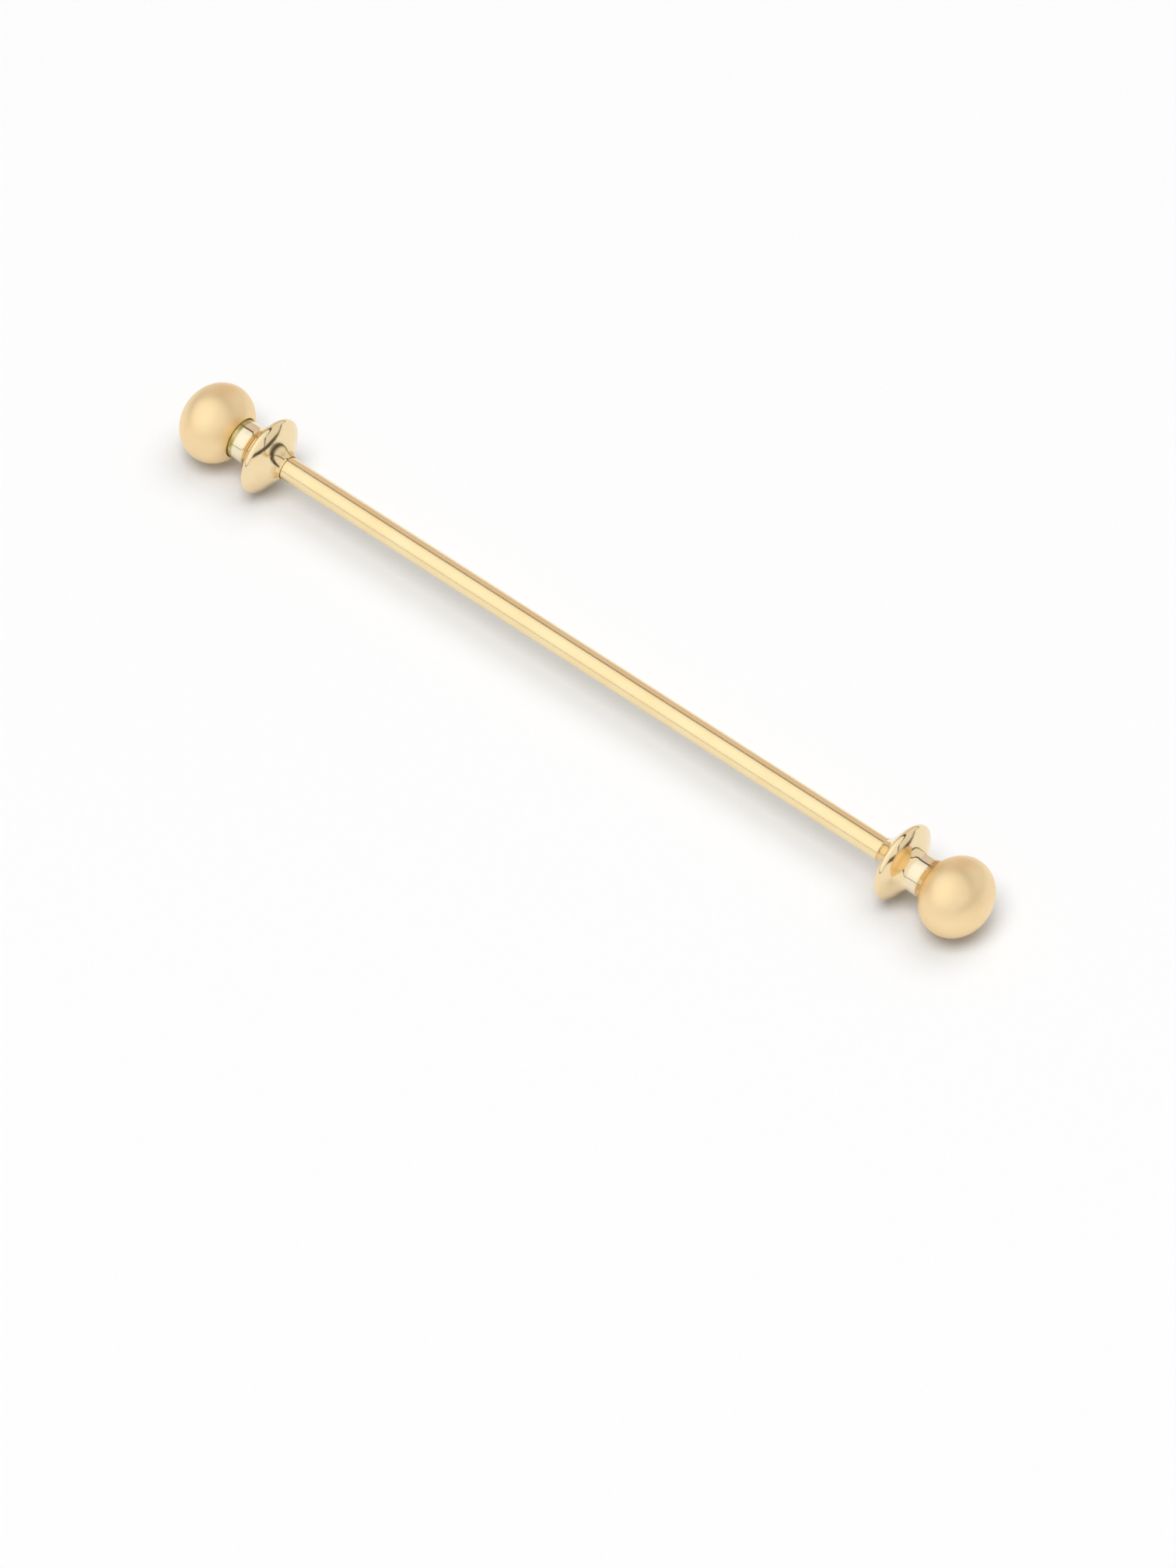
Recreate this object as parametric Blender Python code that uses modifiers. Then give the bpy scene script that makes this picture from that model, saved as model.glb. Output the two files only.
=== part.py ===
"""A round bar with a ball finial at each end, worn through the eyelets of a shirt collar.

A polished rod carries a finial at each end: a turned flange and neck in one piece, and a satin
ball on the end of the neck. The flange flares into the neck on one side and tapers to the rod on
the other. One finial is fixed to the rod. The other has a tapped hole and screws onto a stud
turned on the rod's end, so that the bar can go through the collar.

Units are metres. The bar lies along X with the finial that screws off at -X. It rests on Z = 0,
and the origin is below its middle.
"""

import math

import bmesh
import bpy
from mathutils import Matrix, Vector

# The whole bar
BAR_LENGTH = 0.060
ROD_DIAMETER = 0.00145

# The balls, a little flattened along the bar
BALL_DIAMETER = 0.0050
BALL_LENGTH = 0.0042
BALL_TO_FLANGE = 0.0040
SOCKET_DEPTH = 0.0012
SOCKET_CHAMFER = 0.00006

# The collars: a flange with a round rim and straight flanks, a neck, and a mouth round the rod
FLANGE_DIAMETER = 0.0050
RIM_ROUND = 0.00025
FLANK_TURN = math.radians(54)
NECK_DIAMETER = 0.0025
NECK_FILLET = 0.00035
MOUTH_WALL = 0.000045
MOUTH_FILLET = 0.00015
NECK_END_CHAMFER = 0.00010
NECK_END_WALL = 0.0004

# The stud and thread of the finial that comes off, M1.2 x 0.25, and the seat for the rod's shoulder
SEAT_TO_CENTRE = 0.00032
SHOULDER_WIDTH = 0.000125
THREAD_PITCH = 0.00025
RELIEF_LENGTH = 0.00025
RELIEF_DEPTH = 0.00001
ROD_END_CHAMFER = 0.00010
LEAD_IN_TURNS = 2.5
RUNOUT_TURNS = 1.5

# The plain bore, as deep as the seat in the finial that comes off
BORE_MOUTH_CHAMFER = 0.00002

# Clearances
THREAD_CLEARANCE = 0.00002
FIT_CLEARANCE = 0.00002
SEAT_CLEARANCE = 0.00002

# The ISO metric thread form, as shares of the pitch
CREST_SHARE = 1 / 8
EXTERNAL_DEPTH_SHARE = 0.6134
INTERNAL_DEPTH_SHARE = 0.5413
FLANK_SLOPE = math.tan(math.radians(30))

# How finely round forms are cut into flats, and what counts as one point or as a sharp edge
SEGMENTS = 40
THREAD_STEPS = 20
RIM_STEPS = 10
FILLET_STEPS = 4
SAME_POINT = 1e-7
SHARP_ANGLE = math.radians(35)

# Stations along a half of the bar, measured outward from its middle
BALL_CENTRE = (BAR_LENGTH - BALL_LENGTH) / 2
FLANGE_CENTRE = BALL_CENTRE - BALL_TO_FLANGE
ROD_SEAT = FLANGE_CENTRE - SEAT_TO_CENTRE
SOCKET_FLOOR = BALL_CENTRE - BALL_LENGTH / 2 + SOCKET_DEPTH
NECK_END = SOCKET_FLOOR - SEAT_CLEARANCE
HOLE_FLOOR = NECK_END - NECK_END_WALL
TAP_END = HOLE_FLOOR - THREAD_PITCH / 2
ROD_TIP = TAP_END - RUNOUT_TURNS * THREAD_PITCH
ROD_SHOULDER = ROD_SEAT - SEAT_CLEARANCE
THREAD_START = ROD_SHOULDER + RELIEF_LENGTH / 2

# Radii that the fits share
ROD_RADIUS = ROD_DIAMETER / 2
NECK_RADIUS = NECK_DIAMETER / 2
SOCKET_RADIUS = NECK_RADIUS + FIT_CLEARANCE
PLAIN_BORE_RADIUS = ROD_RADIUS + FIT_CLEARANCE
MOUTH_RADIUS = PLAIN_BORE_RADIUS + MOUTH_WALL
STUD_RADIUS = ROD_RADIUS - SHOULDER_WIDTH
STUD_ROOT_RADIUS = STUD_RADIUS - EXTERNAL_DEPTH_SHARE * THREAD_PITCH
RELIEF_RADIUS = STUD_ROOT_RADIUS - RELIEF_DEPTH
TAPPED_RADIUS = STUD_RADIUS + THREAD_CLEARANCE
TAPPED_BORE_RADIUS = TAPPED_RADIUS - INTERNAL_DEPTH_SHARE * THREAD_PITCH
TAPPED_MOUTH_RADIUS = (TAPPED_RADIUS + ROD_RADIUS) / 2

# Where the flange's flanks start, at the rim, as a radius and a distance from the flange's centre
RIM_CENTRE = FLANGE_DIAMETER / 2 - RIM_ROUND
FLANK_RADIUS = RIM_CENTRE + RIM_ROUND * math.cos(FLANK_TURN)
FLANK_START = RIM_ROUND * math.sin(FLANK_TURN)

# The lowest flats of the widest round form rest on Z = 0
HALF_FLAT = math.pi / SEGMENTS
AXIS_HEIGHT = max(BALL_DIAMETER, FLANGE_DIAMETER) / 2 * math.cos(HALF_FLAT)

POLISHED_GOLD = (0.91, 0.74, 0.45)
POLISHED_ROUGHNESS = 0.08
SATIN_GOLD = (0.86, 0.68, 0.45)
SATIN_ROUGHNESS = 0.35


def clear_scene():
    for old in list(bpy.data.objects):
        bpy.data.objects.remove(old)


def new_collection(name):
    collection = bpy.data.collections.new(name)
    bpy.context.scene.collection.children.link(collection)
    return collection


def metal(name, colour, roughness):
    material = bpy.data.materials.new(name)
    material.use_nodes = True
    shader = material.node_tree.nodes["Principled BSDF"]
    shader.inputs["Base Color"].default_value = (*colour, 1.0)
    shader.inputs["Metallic"].default_value = 1.0
    shader.inputs["Roughness"].default_value = roughness
    return material


def arc(centre, radii, start, end, steps):
    """Points (radius, station) on an ellipse's arc, angles in radians from the outward radius."""
    points = []
    for step in range(steps + 1):
        angle = start + (end - start) * step / steps
        along = radii[1] * math.sin(angle)
        points.append((centre[0] + radii[0] * math.cos(angle), centre[1] + along))
    return points


def place(obj, station, side):
    """Stands the local +Z axis outward along the bar, with a flat of each round form at the bottom."""
    lie_down = Matrix.Rotation(side * math.pi / 2, 4, "Y")
    flats_down = Matrix.Rotation(HALF_FLAT, 4, "Z")
    where = Vector((side * station, 0, AXIS_HEIGHT))
    obj.matrix_world = Matrix.Translation(where) @ lie_down @ flats_down


def turned(name, profile, collection):
    """A solid of revolution about local Z. The profile runs from the top of the axis down the outside."""
    outline = bmesh.new()
    verts = [outline.verts.new((radius, 0, station)) for radius, station in profile]
    for first, second in zip(verts, verts[1:]):
        outline.edges.new((first, second))
    mesh = bpy.data.meshes.new(name)
    outline.to_mesh(mesh)
    outline.free()
    obj = bpy.data.objects.new(name, mesh)
    collection.objects.link(obj)
    screw = obj.modifiers.new("Turn", "SCREW")
    screw.axis = "Z"
    screw.steps = SEGMENTS
    screw.render_steps = SEGMENTS
    screw.use_merge_vertices = True
    screw.merge_threshold = SAME_POINT
    return obj


def helical_cutter(name, section, start, end):
    """A bar of the given section, points (radius, offset), wound as a right-hand thread."""
    turns = (end - start) / THREAD_PITCH
    outline = bmesh.new()
    verts = [outline.verts.new((radius, 0, start + offset)) for radius, offset in section]
    for first, second in zip(verts, verts[1:] + verts[:1]):
        outline.edges.new((first, second))
    mesh = bpy.data.meshes.new(name)
    outline.to_mesh(mesh)
    outline.free()
    obj = bpy.data.objects.new(name, mesh)
    cutters.objects.link(obj)
    screw = obj.modifiers.new("Wind", "SCREW")
    screw.axis = "Z"
    screw.angle = 2 * math.pi * turns
    screw.screw_offset = end - start
    screw.steps = round(THREAD_STEPS * turns)
    screw.render_steps = screw.steps
    wound = as_mesh(obj)
    solid = bmesh.new()
    solid.from_mesh(wound)
    bmesh.ops.holes_fill(solid, edges=[edge for edge in solid.edges if edge.is_boundary])
    bmesh.ops.recalc_face_normals(solid, faces=solid.faces)
    solid.to_mesh(wound)
    solid.free()
    obj.modifiers.clear()
    obj.data = wound
    obj.hide_render = True
    obj.display_type = "WIRE"
    return obj


def as_mesh(obj):
    """The object's mesh as its modifiers leave it."""
    graph = bpy.context.evaluated_depsgraph_get()
    return bpy.data.meshes.new_from_object(obj.evaluated_get(graph))


def cut(obj, cutter):
    """Cuts the cutter, which lies in the object's own frame, out of the object."""
    cutter.parent = obj
    boolean = obj.modifiers.new("Thread", "BOOLEAN")
    boolean.operation = "DIFFERENCE"
    boolean.solver = "EXACT"
    boolean.object = cutter


def finish(obj, material):
    """Applies the modifiers and shades the round faces smooth."""
    bpy.context.view_layer.update()
    mesh = as_mesh(obj)
    obj.modifiers.clear()
    obj.data = mesh
    mesh.name = obj.name
    mesh.materials.clear()
    mesh.materials.append(material)
    mesh.shade_smooth()
    mesh.set_sharp_from_angle(angle=SHARP_ANGLE)


def rod_profile():
    """From the stud's tip, at the top, down to the plain end."""
    relief_end = ROD_SHOULDER + RELIEF_LENGTH
    return [
        (0, ROD_TIP),
        (STUD_RADIUS - ROD_END_CHAMFER, ROD_TIP),
        (STUD_RADIUS, ROD_TIP - ROD_END_CHAMFER),
        (STUD_RADIUS, relief_end + STUD_RADIUS - RELIEF_RADIUS),
        (RELIEF_RADIUS, relief_end),
        (RELIEF_RADIUS, ROD_SHOULDER),
        (ROD_RADIUS, ROD_SHOULDER),
        (ROD_RADIUS, ROD_END_CHAMFER - ROD_TIP),
        (ROD_RADIUS - ROD_END_CHAMFER, -ROD_TIP),
        (0, -ROD_TIP),
    ]


def flank_fillet(radius, fillet):
    """The fillet from a cylinder of the given radius up to the flange's flank, from its centre."""
    foot = FLANK_START + (FLANK_RADIUS - radius) / math.tan(FLANK_TURN)
    end = foot + fillet * math.tan(FLANK_TURN / 2)
    return arc((radius + fillet, end), (fillet, fillet), math.pi, math.pi + FLANK_TURN, FILLET_STEPS)


def collar_outside():
    """From the neck's end down over the flange to the mouth round the rod, from the flange's centre."""
    end = NECK_END - FLANGE_CENTRE
    mouth = flank_fillet(MOUTH_RADIUS, MOUTH_FILLET)
    return [
        (0, end),
        (NECK_RADIUS - NECK_END_CHAMFER, end),
        (NECK_RADIUS, end - NECK_END_CHAMFER),
        *flank_fillet(NECK_RADIUS, NECK_FILLET),
        *arc((RIM_CENTRE, 0), (RIM_ROUND, RIM_ROUND), FLANK_TURN, -FLANK_TURN, RIM_STEPS),
        *[(radius, -station) for radius, station in reversed(mouth)],
    ]


def collar_bore():
    """The plain bore from its chamfered mouth, as far as the tapped hole or the blind hole's floor."""
    mouth = -flank_fillet(MOUTH_RADIUS, MOUTH_FILLET)[0][1]
    chamfer = BORE_MOUTH_CHAMFER
    return [(PLAIN_BORE_RADIUS + chamfer, mouth), (PLAIN_BORE_RADIUS, mouth + chamfer)]


def ball_profile():
    """From the outer pole round to the socket that takes the neck, from the ball's centre."""
    radii = (BALL_DIAMETER / 2, BALL_LENGTH / 2)
    quarter = SEGMENTS // 4
    mouth = math.acos((SOCKET_RADIUS + SOCKET_CHAMFER) / radii[0])
    edge = -radii[1] * math.sin(mouth)
    floor = SOCKET_DEPTH - radii[1]
    mouth_steps = math.ceil(quarter * mouth / (math.pi / 2))
    return [
        *arc((0, 0), radii, math.pi / 2, 0, quarter),
        *arc((0, 0), radii, 0, -mouth, mouth_steps)[1:],
        (SOCKET_RADIUS, edge + SOCKET_CHAMFER),
        (SOCKET_RADIUS, floor),
        (0, floor),
    ]


def thread_section(root, root_width, open_radius):
    """A groove's section: flat at its root, widening to the open side along the thread's flanks."""
    open_width = root_width + 2 * FLANK_SLOPE * abs(open_radius - root)
    return [
        (root, root_width / 2),
        (open_radius, open_width / 2),
        (open_radius, -open_width / 2),
        (root, -root_width / 2),
    ]


def stud_groove():
    """The groove round the stud. It starts in the relief and runs out past the tip."""
    crest_gap = (1 - CREST_SHARE) * THREAD_PITCH
    root_width = crest_gap - 2 * FLANK_SLOPE * (STUD_RADIUS - STUD_ROOT_RADIUS)
    open_radius = STUD_RADIUS + CREST_SHARE * THREAD_PITCH
    section = thread_section(STUD_ROOT_RADIUS, root_width, open_radius)
    return helical_cutter("stud_groove", section, THREAD_START, ROD_TIP + THREAD_PITCH)


def tapped_groove():
    """The groove in the tapped hole, half a pitch from the stud's so that crests and roots mesh."""
    root_width = CREST_SHARE * THREAD_PITCH + 2 * THREAD_CLEARANCE
    open_radius = TAPPED_BORE_RADIUS - CREST_SHARE * THREAD_PITCH
    section = thread_section(TAPPED_RADIUS, root_width, open_radius)
    start = THREAD_START - LEAD_IN_TURNS * THREAD_PITCH
    ends = (start - FLANGE_CENTRE, TAP_END - FLANGE_CENTRE)
    return helical_cutter("tapped_groove", section, *ends)


clear_scene()
bar = new_collection("collar_bar")
cutters = new_collection("cutters")
SCREW_SIDE = -1
FIXED_SIDE = 1

rod = turned("rod", rod_profile(), bar)
cut(rod, stud_groove())
finish(rod, metal("polished_rod", POLISHED_GOLD, POLISHED_ROUGHNESS))
place(rod, 0, SCREW_SIDE)

hole_floor = HOLE_FLOOR - FLANGE_CENTRE
seat = ROD_SEAT - FLANGE_CENTRE
screw_bore = collar_bore() + [
    (PLAIN_BORE_RADIUS, seat),
    (TAPPED_MOUTH_RADIUS, seat),
    (TAPPED_BORE_RADIUS, seat + TAPPED_MOUTH_RADIUS - TAPPED_BORE_RADIUS),
    (TAPPED_BORE_RADIUS, hole_floor),
    (0, hole_floor),
]
screw_collar = turned("screw_collar", collar_outside() + screw_bore, bar)
cut(screw_collar, tapped_groove())
finish(screw_collar, metal("polished_screw_collar", POLISHED_GOLD, POLISHED_ROUGHNESS))
place(screw_collar, FLANGE_CENTRE, SCREW_SIDE)

fixed_bore = collar_bore() + [(PLAIN_BORE_RADIUS, hole_floor), (0, hole_floor)]
fixed_collar = turned("fixed_collar", collar_outside() + fixed_bore, bar)
finish(fixed_collar, metal("polished_fixed_collar", POLISHED_GOLD, POLISHED_ROUGHNESS))
place(fixed_collar, FLANGE_CENTRE, FIXED_SIDE)

for name, side in (("screw_ball", SCREW_SIDE), ("fixed_ball", FIXED_SIDE)):
    ball = turned(name, ball_profile(), bar)
    finish(ball, metal("satin_" + name, SATIN_GOLD, SATIN_ROUGHNESS))
    place(ball, BALL_CENTRE, side)
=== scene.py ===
import math

import bmesh
import bpy
from mathutils import Matrix, Vector


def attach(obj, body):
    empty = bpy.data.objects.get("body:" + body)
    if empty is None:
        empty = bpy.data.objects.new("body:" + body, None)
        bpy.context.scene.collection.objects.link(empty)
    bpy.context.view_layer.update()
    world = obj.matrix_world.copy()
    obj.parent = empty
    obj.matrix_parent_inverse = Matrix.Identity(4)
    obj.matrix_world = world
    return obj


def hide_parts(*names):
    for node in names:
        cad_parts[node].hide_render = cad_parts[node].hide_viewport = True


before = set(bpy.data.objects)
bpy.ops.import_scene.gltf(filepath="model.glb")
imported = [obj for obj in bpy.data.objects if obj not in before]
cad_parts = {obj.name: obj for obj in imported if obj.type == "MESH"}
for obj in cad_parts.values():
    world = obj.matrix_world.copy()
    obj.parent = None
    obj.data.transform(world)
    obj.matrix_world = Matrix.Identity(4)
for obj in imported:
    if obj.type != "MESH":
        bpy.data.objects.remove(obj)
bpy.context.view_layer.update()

# The camera. It looks down on the bar from 51 degrees up and 39 degrees round, through a long lens
# from nearly 0.9 metres away, and is aimed a little in front of the bar's middle.
AXIS_HEIGHT = 0.002492293
CAMERA_ROUND = math.radians(39.49)
CAMERA_UP = math.radians(51.17)
CAMERA_DISTANCE = 0.8843
CAMERA_LENS = 348.3
FILM_WIDTH = 36
AIM_DOWN = 0.007399
AIM_RIGHT = 0.000313

bar_middle = Vector((0, 0, AXIS_HEIGHT))
level = math.cos(CAMERA_UP)
to_camera = Vector((math.sin(CAMERA_ROUND) * level, -math.cos(CAMERA_ROUND) * level, math.sin(CAMERA_UP)))
picture_right = Vector((math.cos(CAMERA_ROUND), math.sin(CAMERA_ROUND), 0))
picture_up = to_camera.cross(picture_right)
aim = bar_middle - AIM_DOWN * picture_up + AIM_RIGHT * picture_right

camera_data = bpy.data.cameras.new("camera")
camera_data.lens = CAMERA_LENS
camera_data.sensor_width = FILM_WIDTH
camera_data.clip_start = 0.1
camera_data.clip_end = 100
camera = bpy.data.objects.new("camera", camera_data)
bpy.context.scene.collection.objects.link(camera)
camera.location = bar_middle + CAMERA_DISTANCE * to_camera
camera.rotation_euler = (aim - camera.location).to_track_quat("-Z", "Y").to_euler()
bpy.context.scene.camera = camera
bpy.context.scene.view_settings.view_transform = "Standard"

# The table. A sheet of matt white paper lies under the bar and runs out past everything the camera
# and the metal can see. It keeps the bar's shadow, and away from the shadow it reads as white.
TABLE_HALF = 20.0
PAPER_WHITE = (0.86, 0.86, 0.86)
PAPER_FLECK = (0.88, 0.88, 0.875)
PAPER_LIFT = 0.04
PAPER_GRAIN = 4000


def new_material(name):
    material = bpy.data.materials.new(name)
    material.use_nodes = True
    return material, material.node_tree, material.node_tree.nodes["Principled BSDF"]


def feed(tree, socket, value):
    """Gives an input its value: another node's output, a colour without its alpha, or a number."""
    if isinstance(value, bpy.types.NodeSocket):
        tree.links.new(value, socket)
    elif socket.type == "RGBA":
        socket.default_value = (*value, 1)
    else:
        socket.default_value = value


def maths(tree, operation, *values):
    node = tree.nodes.new("ShaderNodeMath")
    node.operation = operation
    for socket, value in zip(node.inputs, values):
        feed(tree, socket, value)
    return node.outputs[0]


def mix(tree, factor, under, over, blend="MIX", kind="RGBA"):
    node = tree.nodes.new("ShaderNodeMix")
    node.data_type = kind
    node.blend_type = blend
    for label, value in (("Factor", factor), ("A", under), ("B", over)):
        feed(tree, node.inputs[label], value)
    return node.outputs["Result"]


def noise(tree, place, scale, detail=2.0):
    """Soft random spots between 0 and 1, finer as the scale goes up."""
    node = tree.nodes.new("ShaderNodeTexNoise")
    for label, value in (("Vector", place), ("Scale", scale), ("Detail", detail)):
        feed(tree, node.inputs[label], value)
    return node.outputs["Fac"]


def to_the_eye(tree):
    """1 for what the eye sees straight, in metal or through glass, and 0 for light on its way."""
    rays = tree.nodes.new("ShaderNodeLightPath").outputs
    seen = maths(tree, "MAXIMUM", rays["Is Camera Ray"], rays["Is Glossy Ray"])
    return maths(tree, "MAXIMUM", seen, rays["Is Transmission Ray"])


def piece_from(shape, name, material):
    """Makes the finished shape an object at the origin, in its material."""
    mesh = bpy.data.meshes.new(name)
    shape.to_mesh(mesh)
    shape.free()
    mesh.materials.append(material)
    piece = bpy.data.objects.new(name, mesh)
    bpy.context.scene.collection.objects.link(piece)
    return piece


paper, paper_tree, paper_shader = new_material("matt_paper")
paper_place = paper_tree.nodes.new("ShaderNodeTexCoord").outputs["Object"]
paper_grain = noise(paper_tree, paper_place, PAPER_GRAIN)
feed(paper_tree, paper_shader.inputs["Base Color"], mix(paper_tree, paper_grain, PAPER_WHITE, PAPER_FLECK))
feed(paper_tree, paper_shader.inputs["Roughness"], 1.0)
feed(paper_tree, paper_shader.inputs["Specular IOR Level"], 0.0)
feed(paper_tree, paper_shader.inputs["Emission Color"], (1, 1, 1))
paper_lift = maths(paper_tree, "MULTIPLY", to_the_eye(paper_tree), PAPER_LIFT)
feed(paper_tree, paper_shader.inputs["Emission Strength"], paper_lift)

table_shape = bmesh.new()
bmesh.ops.create_grid(table_shape, x_segments=1, y_segments=1, size=TABLE_HALF)
table = piece_from(table_shape, "table_paper", paper)

# The studio. Two lamps behind round diffusers light the table from above, a small one towards the
# front and a wide one towards the back. What the metal sees is a white tent: a lit panel over the
# bar, a dark seam behind it, a warm card at the back, and a gap at the table, wider at the open ends.
LAMP_AWAY = 1.2
LAMP_WHITE = (1.0, 0.995, 0.985)
ROOM_LIGHT = (0.30, 0.305, 0.32)
PANEL_BACK = math.radians(-29.5)
SEAM = math.radians(7.0)
SEAM_SOFT = math.radians(2.0)
PANEL_LIGHT = (0.96, 0.96, 0.95)
GLOW_LIGHT = (0.20, 0.20, 0.195)
GLOW_TOWARDS = Vector((-0.35, -0.56, 0.75)).normalized()
GLOW_FADE = (0.5, 1.0)
WALL_LIGHT = (0.86, 0.85, 0.83)
CARD_LIGHT = (0.80, 0.66, 0.60)
CARD_LEFT = (-0.75, -0.60)
CARD_RIGHT = (-0.05, -0.25)
SEAM_LIGHT = (0.06, 0.05, 0.045)
GAP_LIGHT = (0.07, 0.055, 0.04)
GAP_HEIGHT = 0.032
GAP_AT_ENDS = 0.065
OPEN_ENDS = (0.72, 0.96)
GAP_SOFT = 1.6

for lamp_name, towards, width, power in (
    ("front_lamp", Vector((0.03, -0.30, 0.95)), 0.70, 7.3),
    ("top_lamp", Vector((0.06, 0.30, 0.95)), 1.20, 6.3),
):
    lamp_data = bpy.data.lights.new(lamp_name, "AREA")
    lamp_data.shape = "DISK"
    lamp_data.size = width
    lamp_data.energy = power
    lamp_data.color = LAMP_WHITE
    lamp = bpy.data.objects.new(lamp_name, lamp_data)
    bpy.context.scene.collection.objects.link(lamp)
    lamp.location = bar_middle + LAMP_AWAY * towards.normalized()
    lamp.rotation_euler = towards.to_track_quat("Z", "Y").to_euler()
    lamp.visible_glossy = False
    lamp.visible_camera = False


def between(tree, value, low, high, out_low=0.0, out_high=1.0, easing="SMOOTHSTEP"):
    """Maps a value from low..high to out_low..out_high and holds it at both ends."""
    node = tree.nodes.new("ShaderNodeMapRange")
    node.interpolation_type = easing
    labels = ("Value", "From Min", "From Max", "To Min", "To Max")
    for label, number in zip(labels, (value, low, high, out_low, out_high)):
        feed(tree, node.inputs[label], number)
    return node.outputs["Result"]


def split(tree, vector):
    node = tree.nodes.new("ShaderNodeSeparateXYZ")
    feed(tree, node.inputs[0], vector)
    return node.outputs


studio = bpy.data.worlds.new("studio")
bpy.context.scene.world = studio
studio.use_nodes = True
studio.cycles.sampling_method = "NONE"
tent = studio.node_tree
direction = tent.nodes.new("ShaderNodeTexCoord").outputs["Generated"]
sideways, backward, upward = split(tent, direction)
over_bar = maths(tent, "ARCTAN2", maths(tent, "MULTIPLY", backward, -1.0), upward)

facing_glow = tent.nodes.new("ShaderNodeVectorMath")
facing_glow.operation = "DOT_PRODUCT"
feed(tent, facing_glow.inputs[0], direction)
feed(tent, facing_glow.inputs[1], GLOW_TOWARDS)
glow = mix(tent, between(tent, facing_glow.outputs["Value"], *GLOW_FADE), (0.0, 0.0, 0.0), GLOW_LIGHT)
panel = mix(tent, 1.0, PANEL_LIGHT, glow, "ADD")

from_left = between(tent, sideways, *CARD_LEFT)
from_right = between(tent, sideways, *CARD_RIGHT)
card = mix(tent, maths(tent, "MULTIPLY", from_left, from_right), WALL_LIGHT, CARD_LIGHT)
past_seam = between(tent, over_bar, PANEL_BACK - SEAM - SEAM_SOFT, PANEL_BACK - SEAM)
wall = mix(tent, past_seam, card, SEAM_LIGHT)
under_panel = between(tent, over_bar, PANEL_BACK, PANEL_BACK + SEAM_SOFT)
walls_and_panel = mix(tent, under_panel, wall, panel)

to_end = between(tent, maths(tent, "ABSOLUTE", sideways), *OPEN_ENDS)
gap_top = maths(tent, "ADD", maths(tent, "MULTIPLY", to_end, GAP_AT_ENDS), GAP_HEIGHT)
over_gap = between(tent, upward, gap_top, maths(tent, "MULTIPLY", gap_top, GAP_SOFT))
tent_light = mix(tent, over_gap, GAP_LIGHT, walls_and_panel)

# The metal shows the tent, but the paper beside it is lit by the lamps and the grey of the room.
diffuse_depth = tent.nodes.new("ShaderNodeLightPath").outputs["Diffuse Depth"]
by_eye = maths(tent, "MULTIPLY", to_the_eye(tent), maths(tent, "LESS_THAN", diffuse_depth, 0.5))
background = tent.nodes["Background"]
feed(tent, background.inputs["Color"], mix(tent, by_eye, ROOM_LIGHT, tent_light))
feed(tent, background.inputs["Strength"], 1.0)

# The rod. A round brass rod, polished and gold plated. One end is plain and sits fast in the fixed
# finial. The other is turned down to a stud with a fine thread, for the finial that screws off.
ROD_RADIUS = 0.000725
ROD_TIP = 0.02608
ROD_SHOULDER = 0.02356
ROD_EDGE = 0.00002
ROD_END_CHAMFER = 0.0001
STUD_RADIUS = 0.0006
STUD_ROOT = 0.00044665
RELIEF_RADIUS = 0.00043665
RELIEF_LENGTH = 0.00025
PITCH = 0.00025
THREAD_START = ROD_SHOULDER + RELIEF_LENGTH / 2
CREST_SHARE = 1 / 8
THREAD_FLANK = math.tan(math.radians(30))
EDGE_STEPS = 4
TURN_STEPS = 128
THREAD_STEPS = 96
SAME_POINT = 1e-7
FLAT_ROUND = math.pi / 40
SHARP = math.radians(40)
SCREW_SIDE = -1
FIXED_SIDE = 1


def arc(centre, radii, start, end, steps):
    """Points (radius, station) on part of an ellipse, angles from the outward radius."""
    angles = [start + (end - start) * step / steps for step in range(steps + 1)]
    return [(centre[0] + radii[0] * math.cos(a), centre[1] + radii[1] * math.sin(a)) for a in angles]


def wire(shape, profile):
    """Adds the profile's points (radius, station) to the shape, joined one after another."""
    points = [shape.verts.new((radius, 0, station)) for radius, station in profile]
    edges = [shape.edges.new(pair) for pair in zip(points, points[1:])]
    return points + edges


def turn(shape, geom, steps, rise=0.0):
    """Spins the geometry once round, climbing by rise, and closes what meets."""
    climb = Vector((0, 0, rise / steps))
    bmesh.ops.spin(
        shape, geom=geom, cent=(0, 0, 0), axis=(0, 0, 1), dvec=climb,
        angle=2 * math.pi, steps=steps, use_merge=rise == 0,
    )
    bmesh.ops.remove_doubles(shape, verts=shape.verts, dist=SAME_POINT)


def cut_off(shape, station, outward):
    """Trims the shape with a plane across the axis, dropping what lies outward of it."""
    bmesh.ops.bisect_plane(
        shape, geom=shape.verts[:] + shape.edges[:] + shape.faces[:], dist=SAME_POINT / 10,
        plane_co=(0, 0, station), plane_no=(0, 0, outward), clear_outer=True,
    )


def open_ring(shape, station):
    """The open edges that lie across the axis at a station."""
    def at_station(edge):
        return all(abs(vert.co.z - station) < 10 * SAME_POINT for vert in edge.verts)
    return [edge for edge in shape.edges if edge.is_boundary and at_station(edge)]


def lay_on_bar(shape, side):
    """Lays the turned shape's axis along the bar, outward at its own end."""
    lie_down = Matrix.Rotation(side * math.pi / 2, 4, "Y") @ Matrix.Rotation(FLAT_ROUND, 4, "Z")
    bmesh.ops.recalc_face_normals(shape, faces=shape.faces)
    bmesh.ops.transform(shape, matrix=Matrix.Translation(bar_middle) @ lie_down, verts=shape.verts)


def smooth_round(piece):
    """Shades the turned faces as one round and keeps the edges that are sharp."""
    piece.data.shade_smooth()
    piece.data.set_sharp_from_angle(angle=SHARP)


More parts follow.
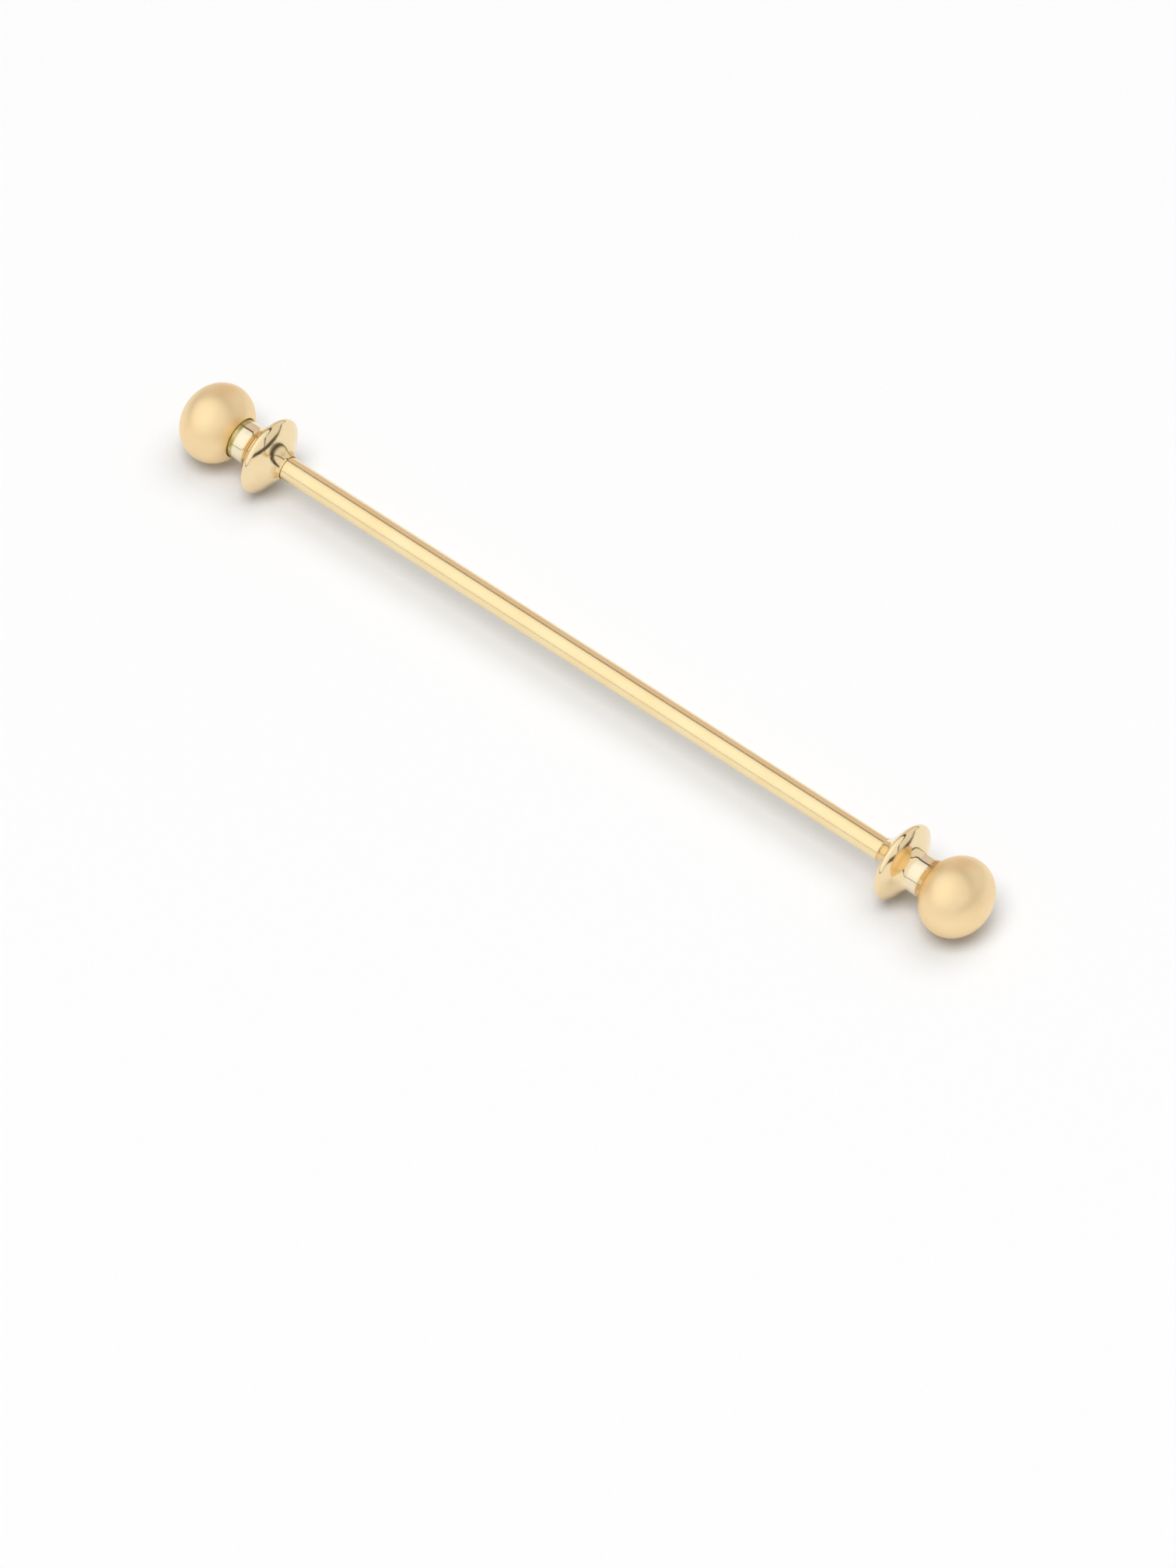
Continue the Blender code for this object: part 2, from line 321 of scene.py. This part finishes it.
def groove_rows(root, root_half, land, start, end):
    """One column of a grooved surface: (radius, station) rows down each flank of every turn."""
    land_half = root_half + THREAD_FLANK * abs(land - root)
    shares = (0, 1 / 3, 2 / 3, 1)
    flank = [(root + (land - root) * s, root_half + (land_half - root_half) * s) for s in shares]
    one_turn = [(radius, -away) for radius, away in reversed(flank)] + flank
    first = math.floor((start - THREAD_START) / PITCH) - 2
    last = math.ceil((end - THREAD_START) / PITCH) + 2
    middles = [THREAD_START + turn_number * PITCH for turn_number in range(first, last)]
    return [(radius, middle + away) for middle in middles for radius, away in one_turn]


def limit_radius(shape, limit):
    """Brings each point of the grooved surface to the radius that limit(radius, station) allows."""
    for vert in shape.verts:
        radius = math.hypot(vert.co.x, vert.co.y)
        allowed = limit(radius, vert.co.z)
        if radius > 0 and allowed != radius:
            vert.co.x *= allowed / radius
            vert.co.y *= allowed / radius


def stud_limit(radius, station):
    """Keeps the thread out of the relief at the shoulder and chamfers the stud's tip."""
    after_relief = station - (ROD_SHOULDER + RELIEF_LENGTH)
    relief = RELIEF_RADIUS + max(0.0, after_relief)
    tip = STUD_RADIUS - ROD_END_CHAMFER + max(0.0, ROD_TIP - station)
    return min(radius, relief, tip)


rod_shape = bmesh.new()
crest_gap = (1 - CREST_SHARE) * PITCH
stud_root_half = crest_gap / 2 - THREAD_FLANK * (STUD_RADIUS - STUD_ROOT)
rows = groove_rows(STUD_ROOT, stud_root_half, STUD_RADIUS, ROD_SHOULDER, ROD_TIP)
turn(rod_shape, wire(rod_shape, rows), THREAD_STEPS, PITCH)
cut_off(rod_shape, ROD_TIP, 1)
cut_off(rod_shape, ROD_SHOULDER, -1)
limit_radius(rod_shape, stud_limit)
bmesh.ops.dissolve_degenerate(rod_shape, edges=rod_shape.edges, dist=SAME_POINT)
bmesh.ops.holes_fill(rod_shape, edges=open_ring(rod_shape, ROD_TIP))
shoulder_centre = (ROD_RADIUS - ROD_EDGE, ROD_SHOULDER - ROD_EDGE)
rod_profile = [
    (ROD_RADIUS - ROD_EDGE, ROD_SHOULDER),
    *arc(shoulder_centre, (ROD_EDGE, ROD_EDGE), math.pi / 2, 0, EDGE_STEPS)[1:],
    (ROD_RADIUS, ROD_END_CHAMFER - ROD_TIP),
    (ROD_RADIUS - ROD_END_CHAMFER, -ROD_TIP),
    (0, -ROD_TIP),
]
turn(rod_shape, wire(rod_shape, rod_profile), TURN_STEPS)
bmesh.ops.bridge_loops(rod_shape, edges=open_ring(rod_shape, ROD_SHOULDER))
lay_on_bar(rod_shape, SCREW_SIDE)

GOLD = (0.91, 0.755, 0.45)
GOLD_WARM = (0.90, 0.715, 0.40)
# Brown for the painted reflection of the neck in the fixed ball.
GOLD_PAINTED_REFLECTION = (0.62, 0.43, 0.20)
CLOUD_SPAN = (0.3, 0.7)
LINE_SPAN = (0.35, 0.65)
ROD_ROUGH = (0.15, 0.21)
ROD_LINE_DEPTH = 4e-7
LINE_STRENGTH = 0.25


def new_group(name, inputs, outputs):
    """A shader node group with named inputs (name, kind, value) and outputs (name, kind)."""
    group = bpy.data.node_groups.new(name, "ShaderNodeTree")
    for label, kind, value in inputs:
        socket = group.interface.new_socket(label, in_out="INPUT", socket_type=kind)
        if value is not None:
            socket.default_value = value
    for label, kind in outputs:
        group.interface.new_socket(label, in_out="OUTPUT", socket_type=kind)
    return group, group.nodes.new("NodeGroupInput").outputs, group.nodes.new("NodeGroupOutput").inputs


# Polishing and turning leave fine lines round the bar's axis. The group reads a place measured from
# the axis and gives lines that are fine along and across it and long round it.
lines_group, lines_in, lines_out = new_group(
    "lines_round_the_bar",
    [
        ("Place", "NodeSocketVector", None),
        ("Along", "NodeSocketFloat", 20000.0),
        ("Across", "NodeSocketFloat", 20000.0),
        ("Around", "NodeSocketFloat", 2.0),
    ],
    [("Lines", "NodeSocketFloat"), ("Radius", "NodeSocketFloat"), ("Station", "NodeSocketFloat")],
)
place_x, place_y, place_z = split(lines_group, lines_in["Place"])
y_square = maths(lines_group, "MULTIPLY", place_y, place_y)
radius_square = maths(lines_group, "MULTIPLY_ADD", place_z, place_z, y_square)
from_axis = maths(lines_group, "SQRT", radius_square)
safe_radius = maths(lines_group, "MAXIMUM", from_axis, 1e-5)
turn_y = maths(lines_group, "DIVIDE", place_y, safe_radius)
turn_z = maths(lines_group, "DIVIDE", place_z, safe_radius)
lines_place = lines_group.nodes.new("ShaderNodeCombineXYZ")
line_ways = ((place_x, "Along"), (turn_y, "Around"), (turn_z, "Around"))
for socket, (value, fineness) in zip(lines_place.inputs, line_ways):
    feed(lines_group, socket, maths(lines_group, "MULTIPLY", value, lines_in[fineness]))
lines_noise = lines_group.nodes.new("ShaderNodeTexNoise")
lines_noise.noise_dimensions = "4D"
feed(lines_group, lines_noise.inputs["Vector"], lines_place.outputs[0])
feed(lines_group, lines_noise.inputs["W"], maths(lines_group, "MULTIPLY", from_axis, lines_in["Across"]))
feed(lines_group, lines_noise.inputs["Scale"], 1.0)
feed(lines_group, lines_noise.inputs["Detail"], 3.0)
feed(lines_group, lines_noise.inputs["Roughness"], 0.6)
feed(lines_group, lines_out["Lines"], lines_noise.outputs["Fac"])
feed(lines_group, lines_out["Radius"], from_axis)
feed(lines_group, lines_out["Station"], maths(lines_group, "ABSOLUTE", place_x))

# Thin gold plate varies a little from place to place, from pale yellow to a warmer gold. A mask can blend
# in a darker colour on top, used for painted shade at the collars' joints and a painted reflection of the
# neck on the fixed ball.
tone_group, tone_in, tone_out = new_group(
    "gold_plate_tone",
    [
        ("Place", "NodeSocketVector", None),
        ("Patch Size", "NodeSocketFloat", 700.0),
        ("Gold", "NodeSocketColor", (*GOLD, 1)),
        ("Warm Gold", "NodeSocketColor", (*GOLD_WARM, 1)),
        ("Tarnish", "NodeSocketColor", (*GOLD_PAINTED_REFLECTION, 1)),
        ("Unpolished", "NodeSocketFloat", 0.0),
    ],
    [("Colour", "NodeSocketColor"), ("Cloud", "NodeSocketFloat")],
)
patches = noise(tone_group, tone_in["Place"], tone_in["Patch Size"], 4.0)
cloud = between(tone_group, patches, *CLOUD_SPAN, easing="LINEAR")
plate = mix(tone_group, cloud, tone_in["Gold"], tone_in["Warm Gold"])
feed(tone_group, tone_out["Colour"], mix(tone_group, tone_in["Unpolished"], plate, tone_in["Tarnish"]))
feed(tone_group, tone_out["Cloud"], cloud)


def place_from_axis(tree):
    """Object coordinates measured from the bar's own axis."""
    coordinates = tree.nodes.new("ShaderNodeTexCoord")
    centred = tree.nodes.new("ShaderNodeMapping")
    feed(tree, centred.inputs["Location"], (0, 0, -AXIS_HEIGHT))
    feed(tree, centred.inputs["Vector"], coordinates.outputs["Object"])
    return centred.outputs["Vector"]


def put_group(tree, group, place, **values):
    """Puts a group in a material. An underscore in a value's name stands for a space."""
    node = tree.nodes.new("ShaderNodeGroup")
    node.node_tree = group
    feed(tree, node.inputs["Place"], place)
    for label, value in values.items():
        feed(tree, node.inputs[label.replace("_", " ")], value)
    return node.outputs


def plate_metal(tree, shader, colour, rough, relief, depth, strength):
    """Makes the shader bare metal, with the fine relief that its finishing leaves."""
    node = tree.nodes.new("ShaderNodeBump")
    feed(tree, node.inputs["Height"], relief)
    feed(tree, node.inputs["Distance"], depth)
    feed(tree, node.inputs["Strength"], strength)
    feed(tree, shader.inputs["Metallic"], 1.0)
    feed(tree, shader.inputs["Base Color"], colour)
    feed(tree, shader.inputs["Roughness"], rough)
    feed(tree, shader.inputs["Normal"], node.outputs["Normal"])


rod_gold, rod_tree, rod_shader = new_material("gold_rod_polished")
rod_place = place_from_axis(rod_tree)
rod_tone = put_group(rod_tree, tone_group, rod_place, Patch_Size=600.0)
rod_lines = put_group(rod_tree, lines_group, rod_place, Along=9000.0, Across=0.0, Around=4.0)
rod_rough = between(rod_tree, rod_lines["Lines"], *LINE_SPAN, *ROD_ROUGH)
plate_metal(
    rod_tree, rod_shader, rod_tone["Colour"], rod_rough,
    rod_lines["Lines"], ROD_LINE_DEPTH, LINE_STRENGTH,
)

polished_rod = piece_from(rod_shape, "polished_rod", rod_gold)
smooth_round(polished_rod)
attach(polished_rod, "bar")
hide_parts("rod")

# The collars. Each is turned from one piece of brass: a flange with a rounded rim, and a neck that
# plugs into the ball. The fixed one is bored plain and soldered on the rod, the other is tapped.
BALL_CENTRE = 0.0279
FLANGE_CENTRE = 0.0239
FLANGE_RADIUS = 0.002492
RIM_ROUND = 0.00025
RIM_TURN = math.radians(50)
RIM_STEPS = 14
FLANK_ROUND = 0.00348
FLANK_TURN = math.radians(61)
FLARE_TURN = math.radians(45)
TAPER_TURN = math.radians(48)
FLANK_STEPS = 10
NECK_ROUND = 0.0005
MOUTH_ROUND = 0.00015
FOOT_STEPS = 12
MOUTH_RADIUS = 0.00079
NECK_RADIUS = 0.00125
NECK_END = 0.02698
NECK_END_CHAMFER = 0.0001
HOLE_FLOOR = 0.02658
ROD_SEAT = 0.02358
TAP_END = 0.026455
PLAIN_BORE = 0.000745
BORE_EDGE = 0.00002
TAPPED_RADIUS = 0.00062
TAPPED_BORE = 0.000484675
TAPPED_MOUTH = 0.0006725
TAPPED_ROOT_HALF = PITCH / 16 + 0.00002


def swept(start, sweeps):
    """Arcs one after another as (radius, station). Each goes between two slopes on its own round."""
    points = [start]
    for first, last, rounding, steps in sweeps:
        radius, station = points[-1]
        centre = (radius - rounding * math.cos(first), station - rounding * math.sin(first))
        points += arc(centre, (rounding, rounding), first, last, steps)[1:]
    return points


def collar_side(foot_radius, flare_turn, foot_round):
    """Half of the flange's outline, from the top of its rim down its flank to a foot."""
    rim_and_flank = (
        (0, RIM_TURN, RIM_ROUND, RIM_STEPS),
        (RIM_TURN, FLANK_TURN, FLANK_ROUND, FLANK_STEPS),
    )
    flank = swept((FLANGE_RADIUS, 0), rim_and_flank)
    foot_rise = foot_round * (1 - math.cos(flare_turn))
    flare = (flank[-1][0] - foot_radius - foot_rise) / (math.cos(flare_turn) - math.cos(FLANK_TURN))
    flare_and_foot = (
        (FLANK_TURN, flare_turn, -flare, FLANK_STEPS),
        (flare_turn, 0, -foot_round, FOOT_STEPS),
    )
    return flank[:-1] + swept(flank[-1], flare_and_foot)


def collar_outside():
    """From the neck's end down its outside and over the flange to the mouth of the bore."""
    neck_side = collar_side(NECK_RADIUS, FLARE_TURN, NECK_ROUND)
    rod_side = collar_side(MOUTH_RADIUS, TAPER_TURN, MOUTH_ROUND)
    mouth_station = FLANGE_CENTRE - rod_side[-1][1]
    return [
        (0, NECK_END),
        (NECK_RADIUS - NECK_END_CHAMFER, NECK_END),
        (NECK_RADIUS, NECK_END - NECK_END_CHAMFER),
        *[(radius, FLANGE_CENTRE + away) for radius, away in reversed(neck_side)],
        *[(radius, FLANGE_CENTRE - away) for radius, away in rod_side[1:]],
        (PLAIN_BORE + BORE_EDGE, mouth_station),
        (PLAIN_BORE, mouth_station + BORE_EDGE),
    ]


def tapped_limit(radius, station):
    """Opens the tapped hole's mouth with a chamfer and keeps its last stretch plain."""
    if station > TAP_END:
        radius = TAPPED_BORE
    return max(radius, TAPPED_MOUTH - (station - ROD_SEAT))


screw_shape = bmesh.new()
rows = groove_rows(TAPPED_RADIUS, TAPPED_ROOT_HALF, TAPPED_BORE, ROD_SEAT, HOLE_FLOOR)
turn(screw_shape, wire(screw_shape, rows), THREAD_STEPS, PITCH)
cut_off(screw_shape, HOLE_FLOOR, 1)
cut_off(screw_shape, ROD_SEAT, -1)
limit_radius(screw_shape, tapped_limit)
bmesh.ops.dissolve_degenerate(screw_shape, edges=screw_shape.edges, dist=SAME_POINT)
bmesh.ops.holes_fill(screw_shape, edges=open_ring(screw_shape, HOLE_FLOOR))
screw_seat = [(PLAIN_BORE, ROD_SEAT), (TAPPED_MOUTH + BORE_EDGE, ROD_SEAT)]
turn(screw_shape, wire(screw_shape, collar_outside() + screw_seat), TURN_STEPS)
bmesh.ops.bridge_loops(screw_shape, edges=open_ring(screw_shape, ROD_SEAT))
lay_on_bar(screw_shape, SCREW_SIDE)

fixed_shape = bmesh.new()
fixed_floor = [(PLAIN_BORE, HOLE_FLOOR), (0, HOLE_FLOOR)]
turn(fixed_shape, wire(fixed_shape, collar_outside() + fixed_floor), TURN_STEPS)
lay_on_bar(fixed_shape, FIXED_SIDE)

# The neck is paler than the flange. Painted shade darkens a ring where the neck enters the ball, olive at
# the end that screws off and brown at the fixed end, and patchy painted shade darkens the mouth of the
# bore.
PALE_GOLD = (0.885, 0.795, 0.60)
FLANGE_GOLD = (0.90, 0.735, 0.47)
WARMING = (0.99, 0.955, 0.88)
# Painted shade colours: olive at the screw end's neck joint, brown at the fixed end's joint and at the
# bore's mouth.
OLIVE_SHADE_GOLD = (0.44, 0.35, 0.09)
BROWN_SHADE_GOLD = (0.62, 0.37, 0.12)
NECK_TONE = (0.0249, 0.0252)
JOINT_SHADE_STATIONS = (0.02572, 0.02588)
MOUTH_SHADE_STATIONS = (0.0230, 0.0226)
MOUTH_SHADE_MOST = 0.8
SHADE_SPOTS = 1700.0
SPOT_SPAN = (0.40, 0.60)
SPOT_SHADE = (0.15, 1.0)
SPOT_JOINT_SHADE = (0.7, 1.0)
COLLAR_ROUGH = (0.084, 0.132)
PAINTED_SHADE_ROUGH = 0.3
COLLAR_LINE_DEPTH = 3e-7

collar_gold, collar_tree, collar_shader = new_material("gold_collar_polished")
collar_place = place_from_axis(collar_tree)
collar_lines = put_group(collar_tree, lines_group, collar_place, Along=16000.0, Across=16000.0, Around=2.0)
on_neck = between(collar_tree, collar_lines["Station"], *NECK_TONE)
neck_or_flange = mix(collar_tree, on_neck, FLANGE_GOLD, PALE_GOLD)
spots = noise(collar_tree, collar_place, SHADE_SPOTS)
shade_spots = between(collar_tree, spots, *SPOT_SPAN, *SPOT_SHADE)
# Painted shade: a darker, patchy ring where the neck enters the ball.
joint_shade_ring = between(collar_tree, collar_lines["Station"], *JOINT_SHADE_STATIONS)
joint_shade = maths(collar_tree, "MULTIPLY", joint_shade_ring, between(collar_tree, shade_spots, *SPOT_SHADE, *SPOT_JOINT_SHADE))
# Painted shade: patchy darkening round the mouth of the bore, where the rod goes in.
mouth_shade = between(collar_tree, collar_lines["Station"], *MOUTH_SHADE_STATIONS, 0.0, MOUTH_SHADE_MOST)
painted_shade = maths(collar_tree, "MAXIMUM", joint_shade, maths(collar_tree, "MULTIPLY", mouth_shade, shade_spots))
screw_end = maths(collar_tree, "LESS_THAN", split(collar_tree, collar_place)["X"], 0.0)
olive = maths(collar_tree, "MULTIPLY", on_neck, screw_end)
collar_tone = put_group(
    collar_tree, tone_group, collar_place, Patch_Size=900.0,
    Gold=neck_or_flange, Warm_Gold=mix(collar_tree, 1.0, neck_or_flange, WARMING, "MULTIPLY"),
    Tarnish=mix(collar_tree, olive, BROWN_SHADE_GOLD, OLIVE_SHADE_GOLD), Unpolished=painted_shade,
)
line_rough = between(collar_tree, collar_lines["Lines"], *LINE_SPAN, *COLLAR_ROUGH)
shade_rough = maths(collar_tree, "MULTIPLY", painted_shade, PAINTED_SHADE_ROUGH)
collar_rough = maths(collar_tree, "MAXIMUM", line_rough, shade_rough)
plate_metal(
    collar_tree, collar_shader, collar_tone["Colour"], collar_rough,
    collar_lines["Lines"], COLLAR_LINE_DEPTH, LINE_STRENGTH,
)

for name, shape, body, node in (
    ("tapped_collar", screw_shape, "finial_collar", "screw_collar"),
    ("plain_collar", fixed_shape, "bar", "fixed_collar"),
):
    collar = piece_from(shape, name, collar_gold)
    smooth_round(collar)
    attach(collar, body)
    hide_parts(node)

# The balls. Brass balls a little flattened along the bar, given a satin finish before plating. Each
# is bored for the end of a collar's neck and soldered to it.
BALL_RADIUS = 0.002492
BALL_HALF_LENGTH = 0.0021
BALL_STEPS = 72
SOCKET_RADIUS = 0.00127
SOCKET_CHAMFER = 0.00006
SOCKET_FLOOR = 0.0270

SATIN = (0.93, 0.73, 0.435)
SATIN_WARM = (0.92, 0.695, 0.39)
SATIN_ROUGH = (0.39, 0.47)
SATIN_GRAIN = 22000.0
SATIN_DEPTH = 1.2e-6
SATIN_STRENGTH = 0.4
NECK_REFLECTION_RADII = (0.00140, 0.0019)
NECK_REFLECTION_MOST = 0.5
NECK_REFLECTION_STATIONS = (0.0272, 0.0269)

satin_gold, satin_tree, satin_shader = new_material("gold_ball_satin")
satin_place = place_from_axis(satin_tree)
satin_lines = put_group(satin_tree, lines_group, satin_place, Along=14000.0, Across=14000.0, Around=3.0)

# Painted reflection: the fixed ball is tinted brown round its socket for the neck's warm reflection in it.
# The other has none.
along_bar = split(satin_tree, satin_place)["X"]
near_neck = between(satin_tree, satin_lines["Radius"], *NECK_REFLECTION_RADII, NECK_REFLECTION_MOST, 0.0)
fixed_end = maths(satin_tree, "GREATER_THAN", along_bar, 0.0)
inner_side = maths(satin_tree, "MULTIPLY", between(satin_tree, along_bar, *NECK_REFLECTION_STATIONS), fixed_end)
satin_tone = put_group(
    satin_tree, tone_group, satin_place, Patch_Size=500.0, Gold=SATIN, Warm_Gold=SATIN_WARM,
    Unpolished=maths(satin_tree, "MULTIPLY", near_neck, inner_side),
)
satin_grain = noise(satin_tree, satin_place, SATIN_GRAIN)
satin_relief = mix(satin_tree, 0.5, satin_lines["Lines"], satin_grain, kind="FLOAT")
satin_rough = between(satin_tree, satin_tone["Cloud"], 0.0, 1.0, *SATIN_ROUGH)
plate_metal(
    satin_tree, satin_shader, satin_tone["Colour"], satin_rough,
    satin_relief, SATIN_DEPTH, SATIN_STRENGTH,
)

mouth_turn = math.acos((SOCKET_RADIUS + SOCKET_CHAMFER) / BALL_RADIUS)
mouth_station = BALL_CENTRE - BALL_HALF_LENGTH * math.sin(mouth_turn)
ball_profile = [
    *arc((0, BALL_CENTRE), (BALL_RADIUS, BALL_HALF_LENGTH), math.pi / 2, -mouth_turn, BALL_STEPS),
    (SOCKET_RADIUS, mouth_station + SOCKET_CHAMFER),
    (SOCKET_RADIUS, SOCKET_FLOOR),
    (0, SOCKET_FLOOR),
]
for name, side, body, node in (
    ("satin_screw_ball", SCREW_SIDE, "finial_ball", "screw_ball"),
    ("satin_fixed_ball", FIXED_SIDE, "bar", "fixed_ball"),
):
    ball_shape = bmesh.new()
    turn(ball_shape, wire(ball_shape, ball_profile), TURN_STEPS)
    lay_on_bar(ball_shape, side)
    ball = piece_from(ball_shape, name, satin_gold)
    smooth_round(ball)
    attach(ball, body)
    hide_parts(node)
